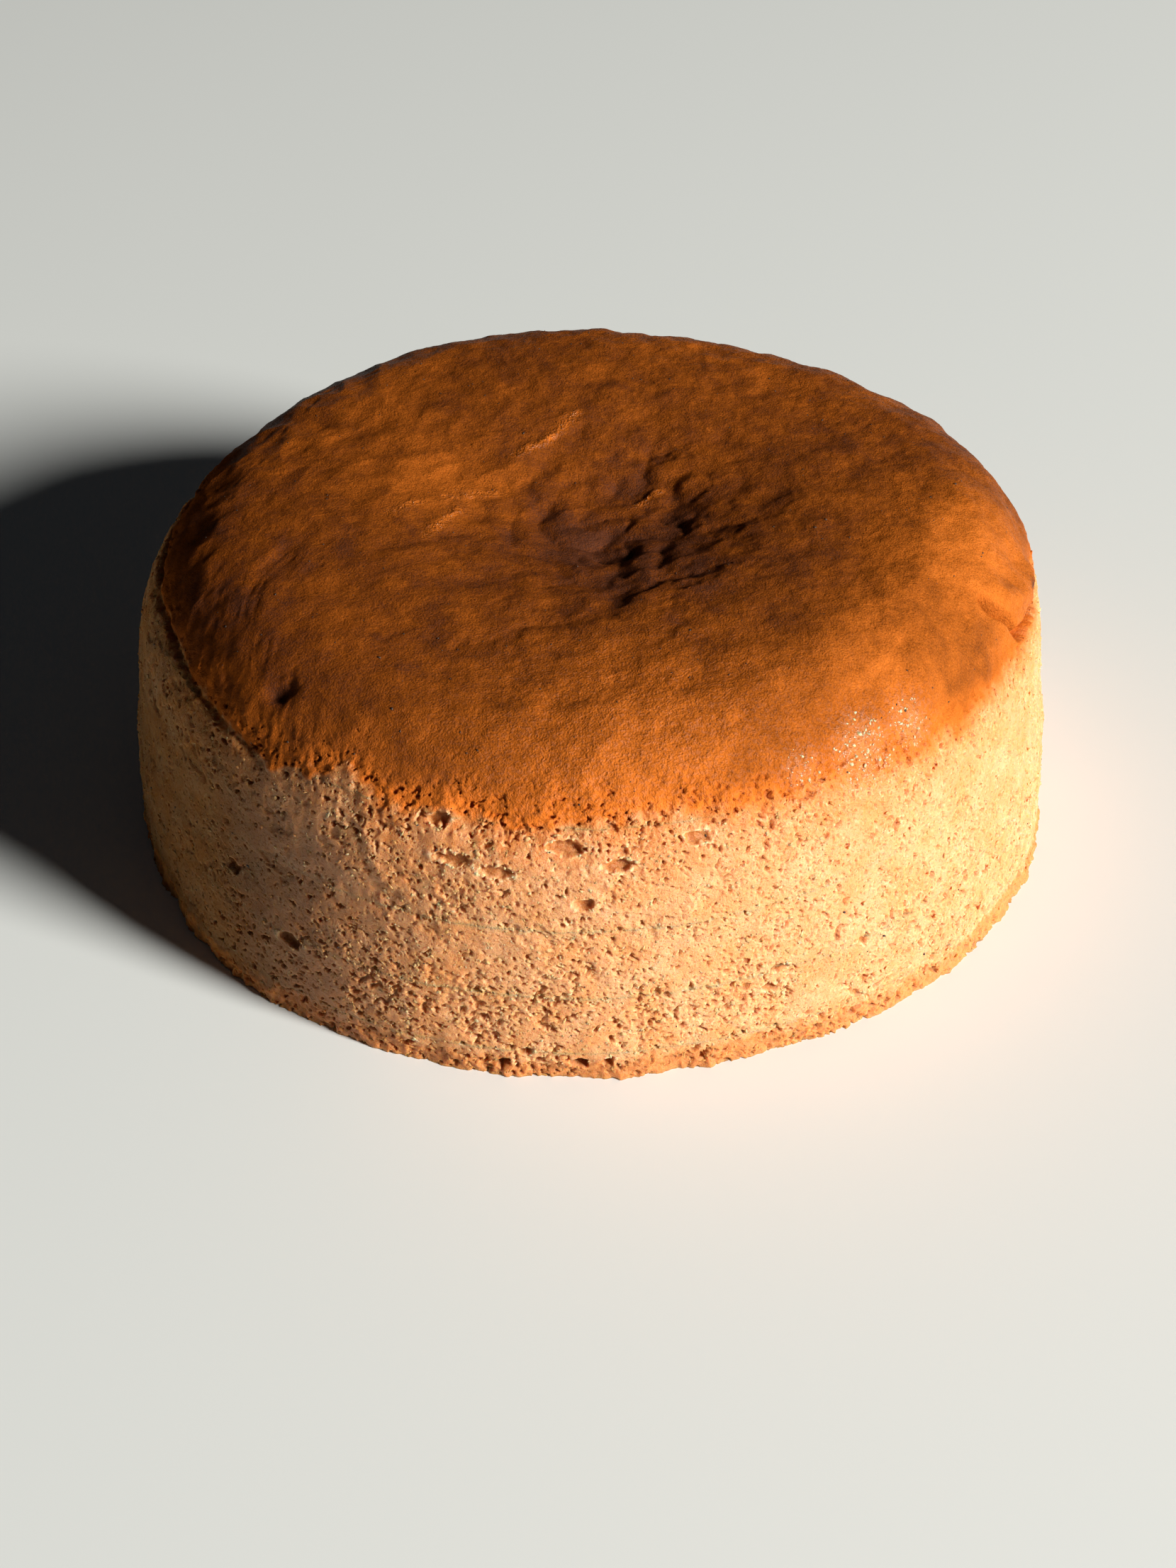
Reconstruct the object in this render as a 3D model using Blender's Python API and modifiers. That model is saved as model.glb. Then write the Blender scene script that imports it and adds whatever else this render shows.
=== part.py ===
# A round vanilla sponge cake, baked in a tin, turned out and stood with its crust up.
# Metres, +Z up. It stands on z = 0, its axis is the Z axis, and its front faces -Y.
# Places round the side are azimuths in degrees, counted from +X towards +Y.

import math
import random

import bpy
from mathutils import Vector, noise

# Driving sizes of the turned body, before its unevenness
BASE_RADIUS = 0.0766
BELT_RADIUS = 0.0765
BELT_HEIGHT = 0.0141
SHOULDER_RADIUS = 0.0751
SHOULDER_HEIGHT = 0.0283
SHOULDER_INSET = 0.0213
SHOULDER_FULLNESS = 2.2
CROWN_HEIGHT = 0.0535
CROWN_RADIUS = SHOULDER_RADIUS - SHOULDER_INSET

# The crust domes up from its edge and sinks again in the middle
DOME_RISE = 0.0032
SAG_RADIUS = 0.042
SAG_DEPTH = 0.0050

# How finely the body is turned before it is thinned to its working mesh
TURN_STEPS = 300
PROFILE_STEP = 0.0016
SHOULDER_POINTS = 20
TRIANGLE_TARGET = 11400
MERGE_DISTANCE = 0.00001
BASE_TOLERANCE = 0.00025

# Slow unevenness, each wave as its count round the cake, its height and its phase
LOW_WAVES = ((1, 0.0004, -147.0), (2, 0.0003, 170.0), (3, 0.0007, -157.0), (4, 0.0007, -99.0))
HIGH_WAVES = ((1, 0.0004, 113.0), (2, 0.0010, 118.0), (3, 0.0017, 67.0), (4, 0.0010, 69.0))
CROWN_WAVES = ((1, 0.0002, -126.0), (2, 0.0006, -89.0), (3, 0.0008, -99.0))
SIDE_LUMP = 0.0006
SIDE_LUMP_SCALE = 0.018

# The crust ends this high on the shoulder, give or take its ragged edge
CRUST_EDGE = 0.0440
CRUST_EDGE_RAGGED = 0.0016
CRUST_EDGE_SCALE = 0.010
CRUST_EDGE_FADE = 0.004

# The wrinkled bowl in the middle of the crust
BOWL_CENTRE = (0.001, 0.002)
BOWL_RADIUS = 0.020
BOWL_DEPTH = 0.0016
BOWL_WRINKLE = 0.0011
BOWL_WRINKLE_SCALE = 0.0075

# Folds of the crust, each from one point to another, with its half width and height
FOLDS = (
    ((-0.0030, 0.0357), (-0.0122, 0.0259), 0.0026, 0.0012),
    ((-0.0122, 0.0259), (-0.0156, 0.0132), 0.0026, 0.0013),
    ((-0.0220, 0.0095), (-0.0262, 0.0023), 0.0024, 0.0009),
    ((0.0062, 0.0153), (0.0115, 0.0249), 0.0024, -0.0016),
    ((0.0124, 0.0054), (0.0155, 0.0101), 0.0026, -0.0018),
    ((0.0019, -0.0065), (0.0150, -0.0040), 0.0022, -0.0016),
    ((0.0031, -0.0220), (0.0051, -0.0125), 0.0024, -0.0018),
    ((0.0127, -0.0155), (0.0200, -0.0095), 0.0024, -0.0014),
    ((0.0107, -0.0308), (0.0143, -0.0225), 0.0022, -0.0010),
)

# Ripples of the crust, long one way and narrow across: their heading inside and at the left
# rim, and where they fade towards the right
RIPPLE_HEIGHT = 0.0009
RIPPLE_MIDDLE = 0.5
RIPPLE_LENGTH = 0.019
RIPPLE_WIDTH = 0.0058
RIPPLE_HEADING = 29.0
RIPPLE_RIM_HEADING = 68.0
RIPPLE_RIM_START = 0.036
RIPPLE_RIM_REACH = 0.026
RIPPLE_RIGHT_END = 0.020
RIPPLE_FADE = 0.065
RIPPLE_RIGHT_SHARE = 0.2

# Scallops of the crust's rim, largest at the back left
SCALLOP_HEIGHT = 0.0012
SCALLOP_SCALE = 0.0085
SCALLOP_AZIMUTH = 150.0
SCALLOP_SPREAD = 75.0
SCALLOP_LEAST = 0.35
SCALLOP_RIM_HEIGHT = 0.0478
SCALLOP_RIM_REACH = 0.012

# Deep pit in the crust near the left rim
RIM_PIT = (-0.0462, -0.0425)
RIM_PIT_RADIUS = 0.0027
RIM_PIT_DEPTH = 0.0019

# Notch in the crust's edge at the right: a crease from the top out to the rim, a gap that
# runs back along the rim, and the lip of crust that stands up between them
NOTCH = (
    (0.0560, -0.0215, 0.0520),
    (0.0636, -0.0252, 0.0500),
    (0.0672, -0.0275, 0.0440),
    (0.0712, -0.0185, 0.0425),
    (0.0732, -0.0100, 0.0415),
)
NOTCH_LIP = ((0.0600, -0.0190, 0.0520), (0.0715, -0.0140, 0.0440))
NOTCH_HALF_WIDTH = 0.0013
NOTCH_DEPTH = 0.0024
NOTCH_LIP_HALF_WIDTH = 0.0031
NOTCH_LIP_HEIGHT = 0.0011

# Groove between crust and side at the left, as azimuth and height along its run
GROOVE = ((-176.0, 0.0478), (-157.0, 0.0447), (-139.0, 0.0397))
GROOVE_HALF_WIDTH = 0.0011
GROOVE_DEPTH = 0.0014

# Patch at the front left where the crust's edge has torn off the crumb
TORN_AZIMUTH = -123.5
TORN_HEIGHT = 0.0420
TORN_HALF_LENGTH = 0.0105
TORN_HALF_WIDTH = 0.0042
TORN_DEPTH = 0.0012

# Large holes of the crumb that show: azimuth, height, half length, half width, depth
CAVITIES = (
    (-94.0, 0.0415, 0.0030, 0.0014, 0.0015),
    (-105.0, 0.0381, 0.0026, 0.0012, 0.0013),
    (-87.0, 0.0395, 0.0024, 0.0014, 0.0014),
    (-91.0, 0.0324, 0.0022, 0.0017, 0.0012),
    (-126.0, 0.0145, 0.0024, 0.0013, 0.0014),
    (-139.0, 0.0161, 0.0021, 0.0014, 0.0013),
    (-71.0, 0.0135, 0.0028, 0.0015, 0.0015),
)

# More such holes, strewn by a seeded draw over the rest of the side
STREWN_CAVITIES = 60
STREWN_SEED = 17
STREWN_HEIGHTS = (0.004, 0.038)
STREWN_LENGTHS = (0.0013, 0.0024)
STREWN_FLATNESS = 0.62
STREWN_DEPTH = 0.0011
SHOWN_SECTOR = (-150.0, -40.0)

# Browned crumb of the base edge stands out a little and is ragged
RIM_HEIGHT = 0.0036
RIM_RAGGED = 0.0005
RIM_SCALE = 0.006

CRUST_COLOUR = (0.52, 0.21, 0.055, 1.0)
CRUST_ROUGHNESS = 0.45


def clear_scene():
    for item in list(bpy.data.objects):
        bpy.data.objects.remove(item, do_unlink=True)


def new_collection(name):
    collection = bpy.data.collections.new(name)
    bpy.context.scene.collection.children.link(collection)
    return collection


def baked_material(name, colour, roughness):
    material = bpy.data.materials.new(name)
    material.use_nodes = True
    shader = material.node_tree.nodes["Principled BSDF"]
    shader.inputs["Base Color"].default_value = colour
    shader.inputs["Roughness"].default_value = roughness
    shader.inputs["Metallic"].default_value = 0.0
    return material


def steps_between(start, end, step):
    count = max(1, round(abs(end - start) / step))
    return [start + (end - start) * index / count for index in range(count + 1)]


def smooth_step(value):
    value = min(1.0, max(0.0, value))
    return value * value * (3.0 - 2.0 * value)


def crust_rise(radius):
    # What the dome adds and the sunken middle takes off, at this distance from the axis
    dome = DOME_RISE * (1.0 - (radius / SHOULDER_RADIUS) ** 2)
    sag = SAG_DEPTH * 0.5 * (1.0 + math.cos(math.pi * min(1.0, radius / SAG_RADIUS)))
    return dome - sag


def side_radius(height):
    # Almost upright up to the belt, and leaning in from there to the shoulder
    low = BASE_RADIUS + (BELT_RADIUS - BASE_RADIUS) * min(1.0, height / BELT_HEIGHT)
    lean = smooth_step((height - BELT_HEIGHT) / (SHOULDER_HEIGHT - BELT_HEIGHT))
    return low + (SHOULDER_RADIUS - BELT_RADIUS) * lean


def shoulder_point(share):
    # A quarter of a superellipse, from the crown ring at 0 to the top of the side at 1
    angle = 0.5 * math.pi * (1.0 - share)
    power = 2.0 / SHOULDER_FULLNESS
    radius = CROWN_RADIUS + SHOULDER_INSET * math.cos(angle) ** power
    height = SHOULDER_HEIGHT + (CROWN_HEIGHT - SHOULDER_HEIGHT) * math.sin(angle) ** power
    return radius, height + crust_rise(radius)


def cake_profile():
    # From the middle of the crust out over the shoulder and down to the base
    points = [(r, CROWN_HEIGHT + crust_rise(r)) for r in steps_between(0.0, CROWN_RADIUS, PROFILE_STEP)]
    points += [shoulder_point(index / SHOULDER_POINTS) for index in range(1, SHOULDER_POINTS)]
    points += [(side_radius(z), z) for z in steps_between(SHOULDER_HEIGHT, 0.0, PROFILE_STEP)]
    points.append((0.0, 0.0))
    return points


def apply_modifiers(item):
    bpy.context.view_layer.objects.active = item
    for modifier in list(item.modifiers):
        bpy.ops.object.modifier_apply(modifier=modifier.name)


def turned_body(name, collection):
    points = cake_profile()
    mesh = bpy.data.meshes.new(name)
    edges = [(index, index + 1) for index in range(len(points) - 1)]
    mesh.from_pydata([(radius, 0.0, height) for radius, height in points], edges, [])
    item = bpy.data.objects.new(name, mesh)
    collection.objects.link(item)
    screw = item.modifiers.new("turned", "SCREW")
    screw.steps = TURN_STEPS
    screw.render_steps = TURN_STEPS
    screw.use_merge_vertices = True
    screw.merge_threshold = MERGE_DISTANCE
    apply_modifiers(item)
    return item


def wave_sum(waves, azimuth):
    return sum(size * math.cos(count * azimuth - math.radians(phase)) for count, size, phase in waves)


def uneven_place(place):
    # Slow waves widen and narrow the cake and lift and lower its crown
    azimuth = math.atan2(place.y, place.x)
    radius = math.hypot(place.x, place.y)
    rise = min(1.0, place.z / CROWN_HEIGHT)
    reach = smooth_step(radius / CROWN_RADIUS)
    grown = (1.0 - rise) * wave_sum(LOW_WAVES, azimuth) + rise * wave_sum(HIGH_WAVES, azimuth)
    scale = 1.0 + reach * grown / BASE_RADIUS
    lift = reach * rise * rise * wave_sum(CROWN_WAVES, azimuth)
    return Vector((place.x * scale, place.y * scale, place.z + lift))


def distance_to_run(place, start, end):
    along = end - start
    share = (place - start).dot(along) / along.length_squared
    share = min(1.0, max(0.0, share))
    return (place - start - along * share).length


def bump(distance, half_width):
    return math.exp(-(distance / half_width) ** 2)


def crust_edge_height(place):
    return CRUST_EDGE + CRUST_EDGE_RAGGED * noise.noise(place / CRUST_EDGE_SCALE)


def bowl_relief(place):
    offset = math.hypot(place.x - BOWL_CENTRE[0], place.y - BOWL_CENTRE[1])
    share = bump(offset, BOWL_RADIUS)
    wrinkle = noise.noise(place / BOWL_WRINKLE_SCALE)
    return share * (BOWL_WRINKLE * wrinkle - BOWL_DEPTH)


def fold_relief(place):
    flat = Vector((place.x, place.y, 0.0))
    total = 0.0
    for start, end, half_width, height in FOLDS:
        distance = distance_to_run(flat, Vector((*start, 0.0)), Vector((*end, 0.0)))
        total += height * bump(distance, half_width)
    return total


def ripple_wave(place, heading):
    # Round ridges between sharp creases that run along the heading
    turn = math.radians(heading)
    along = place.x * math.cos(turn) + place.y * math.sin(turn)
    across = place.y * math.cos(turn) - place.x * math.sin(turn)
    spot = Vector((along / RIPPLE_LENGTH, across / RIPPLE_WIDTH, place.z / RIPPLE_LENGTH))
    return 2.0 * abs(noise.noise(spot)) - RIPPLE_MIDDLE


def ripple_relief(place):
    rim = smooth_step((-place.x - RIPPLE_RIM_START) / RIPPLE_RIM_REACH)
    left = smooth_step((RIPPLE_RIGHT_END - place.x) / RIPPLE_FADE)
    share = RIPPLE_RIGHT_SHARE + (1.0 - RIPPLE_RIGHT_SHARE) * left
    inner_wave = ripple_wave(place, RIPPLE_HEADING)
    rim_wave = ripple_wave(place, RIPPLE_RIM_HEADING)
    return RIPPLE_HEIGHT * share * (inner_wave + (rim_wave - inner_wave) * rim)


def scallop_relief(place):
    azimuth = math.degrees(math.atan2(place.y, place.x))
    away = abs((azimuth - SCALLOP_AZIMUTH + 180.0) % 360.0 - 180.0)
    share = SCALLOP_LEAST + (1.0 - SCALLOP_LEAST) * bump(away, SCALLOP_SPREAD)
    rim = bump(place.z - SCALLOP_RIM_HEIGHT, SCALLOP_RIM_REACH)
    return SCALLOP_HEIGHT * share * rim * noise.noise(place / SCALLOP_SCALE)


def rim_pit_relief(place):
    offset = math.hypot(place.x - RIM_PIT[0], place.y - RIM_PIT[1])
    return -RIM_PIT_DEPTH * bump(offset, RIM_PIT_RADIUS)


def distance_to_path(place, points):
    pairs = zip(points[:-1], points[1:])
    return min(distance_to_run(place, Vector(start), Vector(end)) for start, end in pairs)


def notch_relief(place):
    gap = NOTCH_DEPTH * bump(distance_to_path(place, NOTCH), NOTCH_HALF_WIDTH)
    lip = NOTCH_LIP_HEIGHT * bump(distance_to_path(place, NOTCH_LIP), NOTCH_LIP_HALF_WIDTH)
    return lip - gap


def side_point(azimuth, height):
    radius = side_radius(height)
    if height > SHOULDER_HEIGHT:
        rise = min(1.0, (height - SHOULDER_HEIGHT) / (CROWN_HEIGHT - SHOULDER_HEIGHT))
        reach = (1.0 - rise ** SHOULDER_FULLNESS) ** (1.0 / SHOULDER_FULLNESS)
        radius = CROWN_RADIUS + SHOULDER_INSET * reach
    angle = math.radians(azimuth)
    return Vector((radius * math.cos(angle), radius * math.sin(angle), height))


def groove_relief(place):
    points = [side_point(azimuth, height) for azimuth, height in GROOVE]
    return -GROOVE_DEPTH * bump(distance_to_path(place, points), GROOVE_HALF_WIDTH)


def hollow(place, azimuth, height, half_length, half_width, depth):
    # A dish in the side, longer round the cake than it is high
    centre = side_point(azimuth, height)
    away = math.atan2(place.y, place.x) - math.radians(azimuth)
    away = (away + math.pi) % (2.0 * math.pi) - math.pi
    along = away * centre.xy.length / half_length
    across = (place.z - height) / half_width
    reach = along * along + across * across
    return -depth * (1.0 - reach) * (1.0 - reach) if reach < 1.0 else 0.0


def strewn_cavities():
    # Beside the listed ones only small ones are strewn
    draw = random.Random(STREWN_SEED)
    cavities = []
    for _ in range(STREWN_CAVITIES):
        azimuth = draw.uniform(-180.0, 180.0)
        height = draw.uniform(*STREWN_HEIGHTS)
        length = draw.uniform(*STREWN_LENGTHS)
        if SHOWN_SECTOR[0] < azimuth < SHOWN_SECTOR[1]:
            length = STREWN_LENGTHS[0]
        cavities.append((azimuth, height, length, STREWN_FLATNESS * length, STREWN_DEPTH))
    return cavities


def side_relief(place, cavities):
    lumps = SIDE_LUMP * noise.noise(place / SIDE_LUMP_SCALE)
    ragged = RIM_RAGGED * noise.noise(place / RIM_SCALE) * (1.0 - smooth_step(place.z / RIM_HEIGHT))
    torn = hollow(place, TORN_AZIMUTH, TORN_HEIGHT, TORN_HALF_LENGTH, TORN_HALF_WIDTH, TORN_DEPTH)
    holes = min(hollow(place, *cavity) for cavity in cavities)
    return lumps + ragged + torn + holes


def relief(place, cavities):
    on_side = side_relief(place, cavities) + groove_relief(place) + notch_relief(place)
    if place.z < SHOULDER_HEIGHT:
        return on_side
    crust = smooth_step((place.z - crust_edge_height(place)) / CRUST_EDGE_FADE + 0.5)
    on_crust = bowl_relief(place) + fold_relief(place) + ripple_relief(place)
    return on_side + scallop_relief(place) + crust * (on_crust + rim_pit_relief(place))


def outward_direction(vertex):
    # Straight out on the side, so that the base stays flat, and square to the crust above it
    if vertex.co.z < SHOULDER_HEIGHT:
        return Vector((vertex.co.x, vertex.co.y, 0.0)).normalized()
    return vertex.normal.copy()


def add_relief(item):
    cavities = list(CAVITIES) + strewn_cavities()
    directions = [outward_direction(vertex) for vertex in item.data.vertices]
    for vertex, direction in zip(item.data.vertices, directions):
        place = vertex.co.copy()
        vertex.co = uneven_place(place) + direction * relief(place, cavities)
    item.data.update()


def thin_mesh(item):
    item.data.calc_loop_triangles()
    thinner = item.modifiers.new("thinned", "DECIMATE")
    thinner.ratio = TRIANGLE_TARGET / len(item.data.loop_triangles)
    thinner.use_collapse_triangulate = True
    apply_modifiers(item)


def stand_on_base(item):
    # The base is made flat again, and the cake is centred over the origin
    vertices = item.data.vertices
    for vertex in vertices:
        if vertex.co.z < BASE_TOLERANCE:
            vertex.co.z = 0.0
    middle_x = 0.5 * (min(v.co.x for v in vertices) + max(v.co.x for v in vertices))
    middle_y = 0.5 * (min(v.co.y for v in vertices) + max(v.co.y for v in vertices))
    for vertex in vertices:
        vertex.co -= Vector((middle_x, middle_y, 0.0))
    item.data.update()


def make_sponge_cake(collection):
    cake = turned_body("sponge_cake", collection)
    add_relief(cake)
    thin_mesh(cake)
    stand_on_base(cake)
    cake.data.materials.append(baked_material("baked_sponge", CRUST_COLOUR, CRUST_ROUGHNESS))
    cake.data.shade_smooth()
    return cake


clear_scene()
make_sponge_cake(new_collection("vanilla_sponge_cake"))
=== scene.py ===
# A round vanilla sponge cake, stood crust up. Lengths are millimetres until they go into a mesh.
# Places round the cake are azimuths in degrees, from +X towards +Y, so its front is at -90.

import math

import bpy
import numpy as np
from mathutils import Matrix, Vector, noise


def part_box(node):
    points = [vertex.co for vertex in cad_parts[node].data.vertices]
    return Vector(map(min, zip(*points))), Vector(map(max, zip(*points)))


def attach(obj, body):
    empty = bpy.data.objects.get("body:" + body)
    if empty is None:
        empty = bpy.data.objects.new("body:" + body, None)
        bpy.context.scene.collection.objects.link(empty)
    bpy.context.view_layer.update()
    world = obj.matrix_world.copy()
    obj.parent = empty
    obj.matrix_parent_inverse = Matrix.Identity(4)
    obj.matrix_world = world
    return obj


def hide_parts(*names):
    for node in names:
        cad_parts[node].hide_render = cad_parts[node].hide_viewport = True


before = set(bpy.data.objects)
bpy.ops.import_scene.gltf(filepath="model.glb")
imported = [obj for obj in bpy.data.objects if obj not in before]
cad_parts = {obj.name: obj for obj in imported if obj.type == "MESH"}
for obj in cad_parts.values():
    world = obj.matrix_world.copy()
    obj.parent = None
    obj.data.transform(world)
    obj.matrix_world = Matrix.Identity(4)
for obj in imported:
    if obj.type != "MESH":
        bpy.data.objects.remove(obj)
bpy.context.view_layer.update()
mm = 0.001


def say(text):
    print("cake:", text, flush=True)


# Helpers for numbers

def easeStep(value):
    value = np.clip(value, 0.0, 1.0)
    return value * value * (3.0 - 2.0 * value)


def bump(distance, halfWidth):
    return np.exp(-((distance / halfWidth) ** 2))


def noiseAt(spots, scale, shift=0.0):
    # Smooth noise about 0, one value for each spot
    return np.array([noise.noise(spot) for spot in (spots / scale + shift).tolist()])


def turnTo(azimuth, centre):
    # Signed degrees from centre, the short way round
    return (azimuth - centre + 180.0) % 360.0 - 180.0


def tableAt(table, places, column=1):
    # Values read off a table, on straight lines between its rows
    table = np.array(table)
    return np.interp(places, table[:, 0], table[:, column])


def radiusOf(spots):
    return np.hypot(spots[:, 0], spots[:, 1])


def azimuthOf(spots):
    return np.degrees(np.arctan2(spots[:, 1], spots[:, 0]))


def centred(spots, middle=(0.0, 0.0)):
    # Moves the whole sideways until its box has its middle there
    for axis in (0, 1):
        spots[:, axis] += middle[axis] - 0.5 * (spots[:, axis].min() + spots[:, axis].max())
    return spots


def distanceTo(spots, place):
    return np.linalg.norm(spots - np.array(place), axis=1)


def distanceToRun(spots, start, end):
    start = np.array(start)
    along = np.array(end) - start
    share = np.clip((spots - start) @ along / (along @ along), 0.0, 1.0)
    return np.linalg.norm(spots - start - share[:, None] * along, axis=1)


def distanceToPath(spots, points):
    return np.min([distanceToRun(spots, a, b) for a, b in zip(points[:-1], points[1:])], axis=0)


# Helpers for objects

def onlySelect(item):
    if bpy.context.object and bpy.context.object.mode != "OBJECT":
        bpy.ops.object.mode_set(mode="OBJECT")
    bpy.ops.object.select_all(action="DESELECT")
    item.select_set(True)
    bpy.context.view_layer.objects.active = item


def applyAll(item):
    onlySelect(item)
    for modifier in list(item.modifiers):
        bpy.ops.object.modifier_apply(modifier=modifier.name)


def readSpots(item):
    values = np.empty(len(item.data.vertices) * 3, np.float32)
    item.data.vertices.foreach_get("co", values)
    return values.reshape(-1, 3).astype(float) / mm


def writeSpots(item, spots):
    item.data.vertices.foreach_set("co", (spots * mm).astype(np.float32).ravel())
    item.data.update()


def readNormals(item):
    values = np.empty(len(item.data.vertices) * 3, np.float32)
    item.data.vertex_normals.foreach_get("vector", values)
    return values.reshape(-1, 3).astype(float)


def writeMark(item, name, values):
    mark = item.data.attributes.new(name, "FLOAT", "POINT")
    mark.data.foreach_set("value", values.astype(np.float32))


# The turned form of the cake

cakeForm = {
    "baseRadius": 76.6,
    "beltRadius": 76.5,
    "beltHeight": 14.1,
    "shoulderRadius": 75.1,
    "shoulderHeight": 28.3,
    "shoulderInset": 21.3,
    "shoulderFullness": 2.2,
    "crownHeight": 53.5,
    "domeRise": 3.2,
    "sagRadius": 42.0,
    "sagDepth": 5.0,
    "lowWaves": ((1, 0.4, -147.0), (2, 0.3, 170.0), (3, 0.7, -157.0), (4, 0.7, -99.0)),
    "highWaves": ((1, 0.4, 113.0), (2, 1.0, 118.0), (3, 1.7, 67.0), (4, 1.0, 69.0)),
    "crownWaves": ((1, 0.2, -126.0), (2, 0.6, -89.0), (3, 0.8, -99.0)),
    "segments": 240,
    "gridSpan": 60,
    "shoulderRings": 18,
    "sideRings": 15,
    "belowBase": 0.6,
    "levels": 3,
}
crownRadius = cakeForm["shoulderRadius"] - cakeForm["shoulderInset"]


def crustRise(radius):
    dome = cakeForm["domeRise"] * (1.0 - (radius / cakeForm["shoulderRadius"]) ** 2)
    reach = np.minimum(1.0, radius / cakeForm["sagRadius"])
    return dome - cakeForm["sagDepth"] * 0.5 * (1.0 + np.cos(math.pi * reach))


def sideRadius(height):
    base, belt, shoulder = cakeForm["baseRadius"], cakeForm["beltRadius"], cakeForm["shoulderRadius"]
    beltHeight = cakeForm["beltHeight"]
    lean = easeStep((height - beltHeight) / (cakeForm["shoulderHeight"] - beltHeight))
    return base + (belt - base) * np.minimum(1.0, height / beltHeight) + (shoulder - belt) * lean


def shoulderPoint(share):
    # A quarter of a superellipse, from the crown ring at 0 to the top of the side at 1
    angle = 0.5 * math.pi * (1.0 - share)
    power = 2.0 / cakeForm["shoulderFullness"]
    rise = cakeForm["crownHeight"] - cakeForm["shoulderHeight"]
    radius = crownRadius + cakeForm["shoulderInset"] * max(0.0, math.cos(angle)) ** power
    return radius, cakeForm["shoulderHeight"] + rise * math.sin(angle) ** power + crustRise(radius)


def outerRings():
    # Radius and height of each ring, from the crown out over the shoulder to just below the base
    count = cakeForm["shoulderRings"]
    rings = [shoulderPoint(index / count) for index in range(1, count + 1)]
    drop = (cakeForm["shoulderHeight"] + cakeForm["belowBase"]) / cakeForm["sideRings"]
    for index in range(1, cakeForm["sideRings"] + 1):
        height = cakeForm["shoulderHeight"] - drop * index
        rings.append((float(sideRadius(max(0.0, height))), height))
    return rings


def layUpCage():
    # A disc of quads for the crown, then ring after ring pulled out and down
    height = cakeForm["crownHeight"] + float(crustRise(crownRadius))
    bpy.ops.object.select_all(action="DESELECT")
    bpy.ops.mesh.primitive_circle_add(
        vertices=cakeForm["segments"], radius=crownRadius * mm, location=(0.0, 0.0, height * mm)
    )
    cage = bpy.context.object
    bpy.ops.object.transform_apply(location=True, rotation=True, scale=True)
    bpy.ops.object.mode_set(mode="EDIT")
    bpy.ops.mesh.select_mode(type="EDGE")
    bpy.ops.mesh.select_all(action="SELECT")
    bpy.ops.mesh.fill_grid(span=cakeForm["gridSpan"])
    bpy.ops.mesh.select_all(action="DESELECT")
    bpy.ops.mesh.select_non_manifold(
        extend=False, use_wire=False, use_multi_face=False, use_non_contiguous=False, use_verts=False
    )
    last = (crownRadius, height)
    for ring in outerRings():
        bpy.ops.mesh.extrude_region_move(
            TRANSFORM_OT_translate={"value": (0.0, 0.0, (ring[1] - last[1]) * mm)}
        )
        scale = ring[0] / last[0]
        bpy.ops.transform.resize(value=(scale, scale, 1.0))
        last = ring
    bpy.ops.mesh.select_all(action="SELECT")
    bpy.ops.mesh.normals_make_consistent(inside=False)
    bpy.ops.object.mode_set(mode="OBJECT")
    spots = readSpots(cage)
    radius = radiusOf(spots)
    inner = radius < crownRadius - 0.01
    spots[inner, 2] = cakeForm["crownHeight"] + crustRise(radius[inner])
    writeSpots(cage, spots)
    smooth = cage.modifiers.new("rounded", "SUBSURF")
    smooth.levels = cakeForm["levels"]
    smooth.render_levels = cakeForm["levels"]
    applyAll(cage)
    return cage


def waveSum(waves, azimuth):
    return sum(size * np.cos(np.radians(count * azimuth - phase)) for count, size, phase in waves)


def unevenSpots(spots):
    # Slow waves widen and narrow the cake, and lift and lower its crown
    azimuth = azimuthOf(spots)
    rise = np.clip(spots[:, 2] / cakeForm["crownHeight"], 0.0, 1.0)
    reach = easeStep(radiusOf(spots) / crownRadius)
    low = waveSum(cakeForm["lowWaves"], azimuth)
    high = waveSum(cakeForm["highWaves"], azimuth)
    grown = (1.0 - rise) * low + rise * high
    moved = spots.copy()
    moved[:, :2] *= (1.0 + reach * grown / cakeForm["baseRadius"])[:, None]
    moved[:, 2] += reach * rise * rise * waveSum(cakeForm["crownWaves"], azimuth)
    return moved


# The browned crust

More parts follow.
